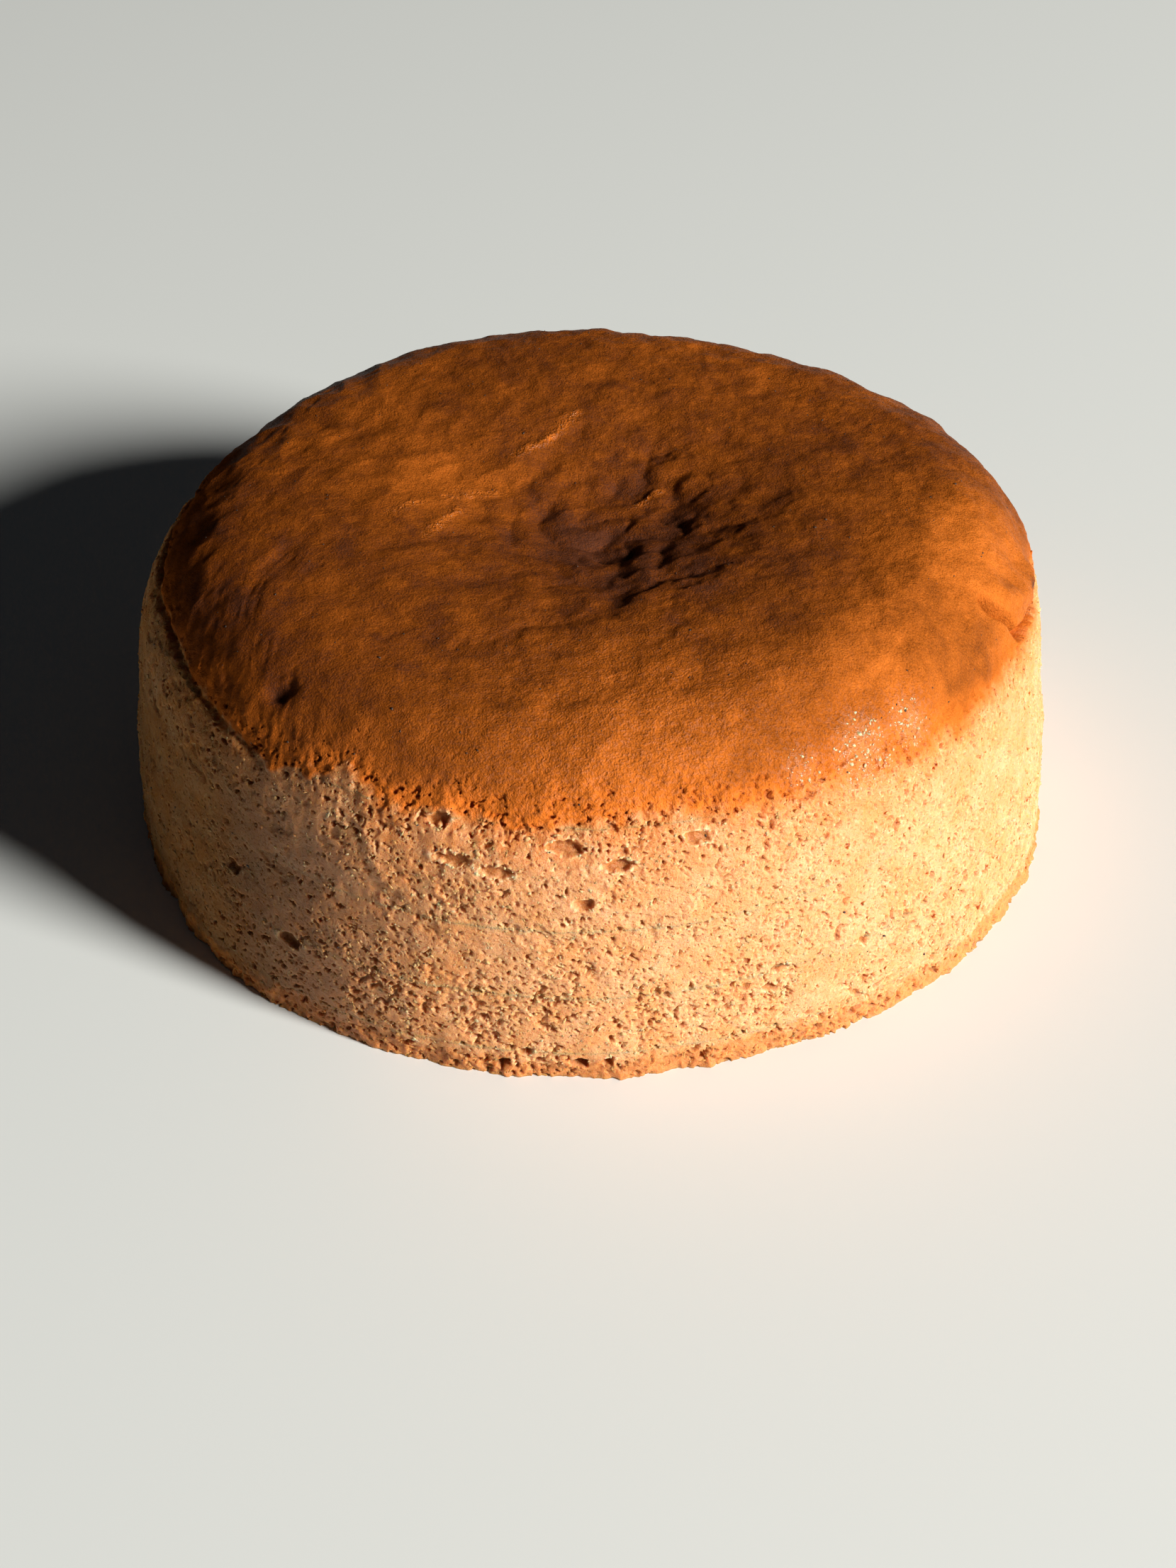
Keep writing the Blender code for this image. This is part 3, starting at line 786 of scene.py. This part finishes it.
def shapeCake(body):
    say("reading the dense body")
    outward = readNormals(body)
    spots = centred(unevenSpots(readSpots(body)))
    azimuth, radius, height = azimuthOf(spots), radiusOf(spots), spots[:, 2]
    upper = height > cakeForm["shoulderHeight"]

    say("crust's edge")
    crust, orange, tint, band, porous = layCrust(spots, azimuth)
    say("crumb of the side")
    relief, hollow, torn = tearCrumb(spots, azimuth, upper, band, porous)
    say("browned foot")
    foot = brownFoot(spots, relief)
    say("crust's folds")
    toast = foldCrust(spots, azimuth, upper, crust, relief)

    # The side moves level outwards, the top as its surface faces
    level = spots * (1.0, 1.0, 0.0) / np.maximum(radius, 0.001)[:, None]
    outward[~upper] = level[~upper]
    lowest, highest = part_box("sponge_cake")
    middle = [0.5 * (low + high) / mm for low, high in zip(lowest, highest)]
    moved = centred(spots + outward * relief[:, None], middle)
    writeSpots(body, moved)

    gloss = glossMap(spots)
    bare = np.clip(gloss - crustLook["glossLeast"], 0.0, 1.0) * (radius > crustLook["glossRadius"])
    # Painted shade on the crumb away from the key light, weaker high up
    high = easeStep((height - crumbLook["paintedShadeStart"]) / crumbLook["paintedShadeFade"])
    marks = {
        "crust": crust * (1.0 - crustLook["glossBare"] * bare),
        "orange": orange,
        "tint": tint,
        "hollow": hollow,
        "torn": torn,
        "foot": foot,
        "toast": toast,
        "paintedShade": tableAt(crumbLook["paintedShade"], azimuth) * (1.0 - crumbLook["paintedShadeHigh"] * high),
        "gloss": gloss,
        "shine": easeStep((spots[:, 0] - crustLook["shineEnd"]) / crustLook["shineFade"] + 1.0),
    }
    for name, values in marks.items():
        writeMark(body, name, values)
    # One fixed order, so that the scattered pieces land in the same places each run
    order = np.lexsort(np.round(spots, 3).T)
    marks = {name: values[order] for name, values in marks.items()}
    return {"spots": moved[order], "outward": outward[order], "marks": marks}


def thinBody(body, triangles):
    thin = body.modifiers.new("thinned", "DECIMATE")
    thin.ratio = triangles / (2.0 * len(body.data.polygons))
    thin.use_collapse_triangulate = True
    applyAll(body)
    say("thinned to %d triangles" % len(body.data.polygons))


def cutLayer(body, name, bottom, top):
    # One level slice of the whole, with flat hidden faces where it meets the next
    layer = body.copy()
    layer.data = body.data.copy()
    layer.name = name
    layer.data.name = name
    bpy.context.scene.collection.objects.link(layer)
    onlySelect(layer)
    bpy.ops.object.mode_set(mode="EDIT")
    for level, normal in ((bottom, 1.0), (top, -1.0)):
        if level is None:
            continue
        bpy.ops.mesh.select_all(action="SELECT")
        bpy.ops.mesh.bisect(
            plane_co=(0.0, 0.0, level * mm), plane_no=(0.0, 0.0, normal), use_fill=True, clear_inner=True,
            threshold=0.000001,
        )
        bpy.ops.mesh.mark_sharp()
    bpy.ops.mesh.select_all(action="SELECT")
    bpy.ops.mesh.quads_convert_to_tris(ngon_method="BEAUTY")
    bpy.ops.object.mode_set(mode="OBJECT")
    layer.data.shade_smooth()
    say("%s: %d triangles" % (name, len(layer.data.polygons)))
    return layer


# Materials

def newMaterial(name):
    material = bpy.data.materials.new(name)
    material.use_nodes = True
    tree = material.node_tree
    return material, tree, tree.nodes["Principled BSDF"]


def addNode(tree, kind, **settings):
    node = tree.nodes.new(kind)
    for key, value in settings.items():
        setattr(node, key, value)
    return node


def setSocket(tree, socket, value):
    if isinstance(value, (int, float)):
        socket.default_value = value
    elif isinstance(value, tuple):
        socket.default_value = (*value, 1.0)
    else:
        tree.links.new(value, socket)


def attributeValue(tree, name):
    return addNode(tree, "ShaderNodeAttribute", attribute_name=name).outputs["Fac"]


def noiseValue(tree, size, detail=2.0, roughness=0.5, stretch=(1.0, 1.0, 1.0)):
    # Noise whose grain is about this many millimetres, on the piece's own coordinates
    place = addNode(tree, "ShaderNodeTexCoord").outputs["Object"]
    mapping = addNode(tree, "ShaderNodeMapping")
    mapping.inputs["Scale"].default_value = stretch
    tree.links.new(place, mapping.inputs["Vector"])
    texture = addNode(tree, "ShaderNodeTexNoise")
    texture.inputs["Scale"].default_value = 1.0 / (size * mm)
    texture.inputs["Detail"].default_value = detail
    texture.inputs["Roughness"].default_value = roughness
    tree.links.new(mapping.outputs["Vector"], texture.inputs["Vector"])
    return texture.outputs["Fac"]


def mathNode(tree, operation, first, second, clamp=False):
    node = addNode(tree, "ShaderNodeMath", operation=operation, use_clamp=clamp)
    setSocket(tree, node.inputs[0], first)
    setSocket(tree, node.inputs[1], second)
    return node.outputs[0]


def remap(tree, value, low, high, toLow=0.0, toHigh=1.0):
    node = addNode(tree, "ShaderNodeMapRange", clamp=True)
    settings = {"Value": value, "From Min": low, "From Max": high, "To Min": toLow, "To Max": toHigh}
    for name, setting in settings.items():
        setSocket(tree, node.inputs[name], setting)
    return node.outputs["Result"]


def colourRamp(tree, value, stops):
    node = addNode(tree, "ShaderNodeValToRGB")
    elements = node.color_ramp.elements
    while len(elements) < len(stops):
        elements.new(0.5)
    for element, (position, colour) in zip(elements, stops):
        element.position = position
        element.color = (*colour, 1.0)
    tree.links.new(value, node.inputs["Fac"])
    return node.outputs["Color"]


def mixColours(tree, share, first, second, blend="MIX"):
    node = addNode(tree, "ShaderNodeMix", data_type="RGBA", blend_type=blend)
    for index, value in ((0, share), (6, first), (7, second)):
        setSocket(tree, node.inputs[index], value)
    return node.outputs[2]


def mixValues(tree, share, first, second):
    node = addNode(tree, "ShaderNodeMix", data_type="FLOAT")
    for index, value in ((0, share), (2, first), (3, second)):
        setSocket(tree, node.inputs[index], value)
    return node.outputs[0]


def bumpNode(tree, height, strength, distance, normal=None):
    node = addNode(tree, "ShaderNodeBump")
    node.inputs["Distance"].default_value = distance * mm
    setSocket(tree, node.inputs["Strength"], strength)
    tree.links.new(height, node.inputs["Height"])
    if normal:
        tree.links.new(normal, node.inputs["Normal"])
    return node.outputs["Normal"]


bakeLook = {
    "crumbPale": (0.83, 0.43, 0.21),
    "crumbGold": (0.79, 0.35, 0.13),
    "crumbTint": (0.74, 0.245, 0.05),
    # Painted shade in pores, fine pits and the groove under the crust's overhang
    "hollow": (0.52, 0.185, 0.045),
    # Painted shade: the crumb is multiplied by this on the side away from the key light
    "paintedShade": (0.30, 0.29, 0.25),
    # Painted highlight on the torn fringes round the pores
    "tornEdgeHighlight": (1.0, 0.70, 0.42),
    "shade": (0.90, 0.82, 0.70),
    "orange": (0.72, 0.175, 0.02),
    # Painted shade in the pores of the orange edge
    "orangeHollowShade": (0.36, 0.085, 0.012),
    # Crust from lightly to darkly baked
    "bake": (
        (0.0, (0.60, 0.150, 0.018)), (0.35, (0.38, 0.092, 0.009)), (0.6, (0.235, 0.057, 0.006)),
        (0.8, (0.15, 0.037, 0.007)), (1.0, (0.09, 0.028, 0.013)),
    ),
    "foot": (0.72, 0.27, 0.075),
    "footDark": (0.30, 0.095, 0.022),
    # How much of each tone goes on at full strength
    "orangeShare": 0.92,
    "tornHighlightShare": 0.85,
    "pitShadeShare": 0.5,
    "hollowShadeToast": 0.6,
    "grainTone": 0.2,
    "roughCrumb": 0.52,
    "roughCrust": 0.46,
    "roughGlitter": 0.14,
    "glitter": 1.0,
    "shineCrumb": 0.4,
    "shineCrust": 0.04,
    "glowCrumb": 0.7,
    "glowCrust": 0.06,
    "glowRadius": (1.0, 0.42, 0.16),
    "glowScale": 1.6,
    # Sizes of the patterns
    "blotchSize": 5.5,
    "tintSize": 2.4,
    "footSize": 1.5,
    "skinSize": 0.9,
    "glitterSize": 0.6,
    "pitSize": 0.45,
    "grainSize": 0.3,
    # Depths of the finest grain
    "pitDepth": 0.22,
    "skinDepth": 0.25,
    "grainDepth": 0.28,
    "glitterDepth": 0.45,
}


def bakedMaterial(name):
    look = bakeLook
    material, tree, shader = newMaterial(name)
    marks = ("crust", "orange", "tint", "hollow", "torn", "foot", "toast", "paintedShade", "gloss", "shine")
    crust, orange, tint, hollow, torn, foot, toast, paintedShade, gloss, shine = [
        attributeValue(tree, mark) for mark in marks
    ]
    grain = noiseValue(tree, look["grainSize"], 3.0, 0.65)
    pits = remap(tree, noiseValue(tree, look["pitSize"], 2.5, 0.6, (1.0, 1.0, 1.4)), 0.565, 0.67)

    # Crumb
    blotch = remap(tree, noiseValue(tree, look["blotchSize"], 3.0), 0.36, 0.64)
    crumb = mixColours(tree, blotch, look["crumbPale"], look["crumbGold"])
    patchy = remap(tree, noiseValue(tree, look["tintSize"], 2.0), 0.35, 0.65, 0.4, 1.0)
    crumb = mixColours(tree, mathNode(tree, "MULTIPLY", tint, patchy), crumb, look["crumbTint"])
    # Painted shade in pores and fine pits
    sunk = mathNode(tree, "MAXIMUM", hollow, mathNode(tree, "MULTIPLY", pits, look["pitShadeShare"]))
    crumb = mixColours(tree, sunk, crumb, look["hollow"])
    # Painted highlight on the torn fringes
    crumb = mixColours(tree, mathNode(tree, "MULTIPLY", torn, look["tornHighlightShare"]), crumb, look["tornEdgeHighlight"])
    crumb = mixColours(tree, remap(tree, grain, 0.35, 0.65, 1.0, 0.0), crumb, look["shade"], "MULTIPLY")
    # Painted shade on the crumb away from the key light
    crumb = mixColours(tree, paintedShade, crumb, look["paintedShade"], "MULTIPLY")

    # Crust over the crumb
    grainTone = remap(tree, grain, 0.3, 0.7, -look["grainTone"], look["grainTone"])
    baked = colourRamp(tree, mathNode(tree, "ADD", toast, grainTone, clamp=True), look["bake"])
    # Painted shade in the pores of the orange edge
    orangeTone = mixColours(tree, hollow, look["orange"], look["orangeHollowShade"])
    skin = mixColours(tree, mathNode(tree, "MULTIPLY", orange, look["orangeShare"]), baked, orangeTone)
    colour = mixColours(tree, crust, crumb, skin)

    # Browned foot over both
    footGrain = noiseValue(tree, look["footSize"], 3.0)
    footTone = remap(tree, footGrain, 0.35, 0.65, -look["grainTone"], look["grainTone"])
    footTone = mathNode(tree, "ADD", toast, footTone)
    # Painted shade in the pores of the foot
    sunk = mathNode(tree, "MULTIPLY", hollow, look["hollowShadeToast"])
    footTone = mathNode(tree, "ADD", footTone, sunk, clamp=True)
    colour = mixColours(tree, foot, colour, mixColours(tree, footTone, look["foot"], look["footDark"]))
    tree.links.new(colour, shader.inputs["Base Color"])

    # Shine and glitter
    rough = remap(tree, crust, 0.3, 1.0, look["roughCrumb"], look["roughCrust"])
    rough = mathNode(tree, "ADD", rough, remap(tree, grain, 0.3, 0.7, -0.16, 0.12))
    sparkle = noiseValue(tree, look["glitterSize"], 1.0)
    glitter = mathNode(tree, "MULTIPLY", remap(tree, sparkle, 0.5, 0.58), gloss)
    tree.links.new(mixValues(tree, glitter, rough, look["roughGlitter"]), shader.inputs["Roughness"])
    specular = remap(tree, crust, 0.0, 1.0, look["shineCrumb"], look["shineCrust"])
    specular = mathNode(tree, "MULTIPLY", specular, shine)
    specular = mathNode(tree, "ADD", specular, mathNode(tree, "MULTIPLY", glitter, look["glitter"]))
    tree.links.new(specular, shader.inputs["Specular IOR Level"])

    # Finest grain
    bare = mathNode(tree, "MULTIPLY", remap(tree, crust, 0.2, 0.9, 1.0, 0.12), 0.6)
    shallow = mathNode(tree, "SUBTRACT", 1.0, pits)
    fine = noiseValue(tree, look["skinSize"], 2.0)
    normal = bumpNode(tree, shallow, bare, look["pitDepth"])
    normal = bumpNode(tree, fine, remap(tree, crust, 0.0, 1.0, 0.5, 0.9), look["skinDepth"], normal)
    normal = bumpNode(tree, grain, remap(tree, crust, 0.0, 1.0, 0.6, 1.0), look["grainDepth"], normal)
    normal = bumpNode(tree, sparkle, gloss, look["glitterDepth"], normal)
    tree.links.new(normal, shader.inputs["Normal"])

    # Light that soaks into the crumb
    glow = remap(tree, crust, 0.0, 1.0, look["glowCrumb"], look["glowCrust"])
    tree.links.new(glow, shader.inputs["Subsurface Weight"])
    shader.inputs["Subsurface Radius"].default_value = look["glowRadius"]
    shader.inputs["Subsurface Scale"].default_value = look["glowScale"] * mm
    return material


# Small pieces set into the surface

def scatterPiece(name, model, surface, chosen, sizes, squash, sink, seed):
    # Copies of one small modelled shape, joined, each turned at random about the way the surface faces
    draw = np.random.RandomState(seed)
    shape = readSpots(model)
    faces = np.array([list(face.vertices) for face in model.data.polygons])
    bpy.data.objects.remove(model, do_unlink=True)
    count = len(chosen)
    facing = surface["outward"][chosen] + draw.normal(0.0, 0.35, (count, 3))
    facing /= np.linalg.norm(facing, axis=1)[:, None]
    first = np.cross(facing, draw.normal(size=(count, 3)))
    first /= np.linalg.norm(first, axis=1)[:, None]
    second = np.cross(facing, first)
    frames = np.stack([first, second, facing], axis=1)
    uneven = draw.uniform(0.7, 1.3, size=(count, len(shape), 1))
    wide, narrow = draw.uniform(0.8, 1.5, count), draw.uniform(0.6, 1.0, count)
    stretch = np.stack([wide, narrow, np.full(count, squash)], axis=1)
    points = shape[None] * uneven * (stretch * sizes[:, None])[:, None]
    points = np.einsum("nki,nij->nkj", points, frames)
    points += (surface["spots"][chosen] - surface["outward"][chosen] * (sink * sizes)[:, None])[:, None]
    joined = (faces[None] + len(shape) * np.arange(count)[:, None, None]).reshape(-1, faces.shape[1])
    mesh = bpy.data.meshes.new(name)
    mesh.from_pydata((points.reshape(-1, 3) * mm).tolist(), [], joined.tolist())
    item = bpy.data.objects.new(name, mesh)
    bpy.context.scene.collection.objects.link(item)
    item.data.shade_smooth()
    for mark, values in surface["marks"].items():
        writeMark(item, mark, np.repeat(values[chosen], len(shape)))
    say("%s: %d triangles" % (name, len(mesh.polygons)))
    return item


# Torn flakes of crumb that cling to the side and to the crust's torn edge
flakeLook = {
    # In the buttery patches they are pale flecks instead, painted highlights for glints: how likely and how
    # large
    "glints": 0.34,
    "glintSize": 0.85,
    "glossLeast": 0.35,
    "anywhere": 0.06,
    "least": 1.0,
    "count": 7000,
    "size": 0.22,
    "spread": 0.4,
    "squash": 0.4,
    "sink": 0.1,
    "seed": 8,
}


def makeFlakes(surface, material):
    look = flakeLook
    draw = np.random.RandomState(look["seed"])
    marks = surface["marks"]
    buttery = marks["gloss"] > look["glossLeast"]
    rim = radiusOf(surface["spots"]) >= crustLook["topRadius"]
    weight = (marks["torn"] + look["anywhere"]) * (1.0 - marks["crust"]) ** 0.5 * (marks["hollow"] < 0.3)
    weight = np.where(buttery, look["glints"] * rim * marks["gloss"], weight)
    weight *= surface["spots"][:, 2] > look["least"]
    chosen = draw.choice(len(weight), look["count"], replace=False, p=weight / weight.sum())
    sizes = look["size"] * np.exp(draw.normal(0.0, look["spread"], len(chosen)).clip(-0.8, 0.8))
    sizes = np.where(buttery[chosen], look["glintSize"], 1.0) * sizes
    bpy.ops.object.select_all(action="DESELECT")
    bpy.ops.mesh.primitive_ico_sphere_add(subdivisions=1, radius=1.0 * mm)
    # In the buttery patches the flakes take the torn-edge highlight colour, painted glints
    pale = {"crust": np.where(buttery, 0.0, marks["crust"]), "torn": np.where(buttery, 1.0, marks["torn"])}
    surface = {**surface, "marks": {**marks, **pale}}
    flakes = scatterPiece(
        "tornFlakes", bpy.context.object, surface, chosen, sizes, look["squash"], look["sink"], look["seed"]
    )
    flakes.data.materials.append(material)
    return flakes


# Black vanilla specks
speckLook = {
    "least": 1.0,
    "count": 640,
    "size": 0.13,
    "spread": 0.35,
    "squash": 0.7,
    "sink": 0.1,
    "seed": 5,
    "black": (0.012, 0.008, 0.006),
    "brown": (0.05, 0.025, 0.014),
}


def makeSpecks(surface):
    look = speckLook
    draw = np.random.RandomState(look["seed"])
    chosen = draw.choice(len(surface["spots"]), look["count"], replace=False)
    chosen = chosen[surface["spots"][chosen, 2] > look["least"]]
    bpy.ops.object.select_all(action="DESELECT")
    bpy.ops.mesh.primitive_ico_sphere_add(subdivisions=1, radius=1.0 * mm)
    sizes = look["size"] * np.exp(draw.normal(0.0, look["spread"], len(chosen)).clip(-0.8, 0.7))
    specks = scatterPiece(
        "vanillaSpecks", bpy.context.object, surface, chosen, sizes, look["squash"], look["sink"],
        look["seed"],
    )
    material, tree, shader = newMaterial("vanillaSpeck")
    colour = mixColours(tree, remap(tree, noiseValue(tree, 0.4), 0.3, 0.7), look["black"], look["brown"])
    tree.links.new(colour, shader.inputs["Base Color"])
    shader.inputs["Roughness"].default_value = 0.5
    specks.data.materials.append(material)
    return specks


# Floor, light and camera

stageLook = {
    "floorSize": 9.0,
    "floorColour": (0.79, 0.81, 0.80),
    "keyAzimuth": -35.0,
    "keyElevation": 25.0,
    "keyDistance": 3.5,
    "keySize": 0.9,
    "keyPower": 250.0,
    "keyColour": (1.0, 0.985, 0.93),
    "skyColour": (0.82, 0.90, 1.0),
    "skyStrength": 0.014,
    "cameraPlace": (-0.45, -408.0, 302.8),
    "cameraPitch": 36.72,
    "cameraRoll": -1.61,
    "lens": 67.5,
}


def makeStage():
    look = stageLook
    bpy.ops.object.select_all(action="DESELECT")
    bpy.ops.mesh.primitive_plane_add(size=look["floorSize"], location=(0.0, 0.0, 0.0))
    floor = bpy.context.object
    floor.name = "floor"
    material, tree, shader = newMaterial("paleFloor")
    shader.inputs["Base Color"].default_value = (*look["floorColour"], 1.0)
    shader.inputs["Roughness"].default_value = 0.7
    floor.data.materials.append(material)

    azimuth = math.radians(look["keyAzimuth"])
    elevation = math.radians(look["keyElevation"])
    level = math.cos(elevation)
    towards = Vector((level * math.cos(azimuth), level * math.sin(azimuth), math.sin(elevation)))
    bpy.ops.object.light_add(type="AREA", location=towards * look["keyDistance"] + Vector((0.0, 0.0, 0.03)))
    key = bpy.context.object
    key.name = "keyLight"
    key.rotation_mode = "QUATERNION"
    key.rotation_quaternion = towards.to_track_quat("Z", "Y")
    key.data.shape = "DISK"
    key.data.size = look["keySize"]
    key.data.energy = look["keyPower"]
    key.data.color = look["keyColour"]

    world = bpy.data.worlds.new("sky")
    bpy.context.scene.world = world
    world.use_nodes = True
    background = world.node_tree.nodes["Background"]
    background.inputs["Color"].default_value = (*look["skyColour"], 1.0)
    background.inputs["Strength"].default_value = look["skyStrength"]


def makeCamera():
    look = stageLook
    bpy.ops.object.camera_add(location=Vector(look["cameraPlace"]) * mm)
    camera = bpy.context.object
    camera.name = "photoView"
    camera.rotation_euler = (math.radians(90.0 - look["cameraPitch"]), 0.0, 0.0)
    camera.rotation_euler.rotate_axis("Z", math.radians(look["cameraRoll"]))
    camera.data.lens = look["lens"]
    camera.data.sensor_width = 36.0
    camera.data.clip_start = 0.01
    camera.data.clip_end = 20.0
    bpy.context.scene.camera = camera
    bpy.context.scene.view_settings.view_transform = "Standard"


# Putting it together

layerLook = {
    "triangles": 690000,
    "footTop": 5.0,
    "openTop": 16.0,
    "closeTop": 28.0,
    "highTop": 44.2,
}


def makeCake():
    look = layerLook
    say("laying up the body")
    body = layUpCage()
    surface = shapeCake(body)
    thinBody(body, look["triangles"])
    levels = (
        ("brownedFoot", 0.0, look["footTop"]),
        ("openCrumb", look["footTop"], look["openTop"]),
        ("closeCrumb", look["openTop"], look["closeTop"]),
        ("highCrumb", look["closeTop"], look["highTop"]),
        ("crustTop", look["highTop"], None),
    )
    material = bakedMaterial("bakedSponge")
    pieces = [makeFlakes(surface, material), makeSpecks(surface)]
    for name, bottom, top in levels:
        layer = cutLayer(body, name, bottom, top)
        layer.data.materials.clear()
        layer.data.materials.append(material)
        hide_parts("sponge_cake")
        pieces.append(layer)
    bpy.data.objects.remove(body, do_unlink=True)
    for piece in pieces:
        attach(piece, "root")
    return pieces


makeCake()
say("stage and camera")
makeStage()
makeCamera()
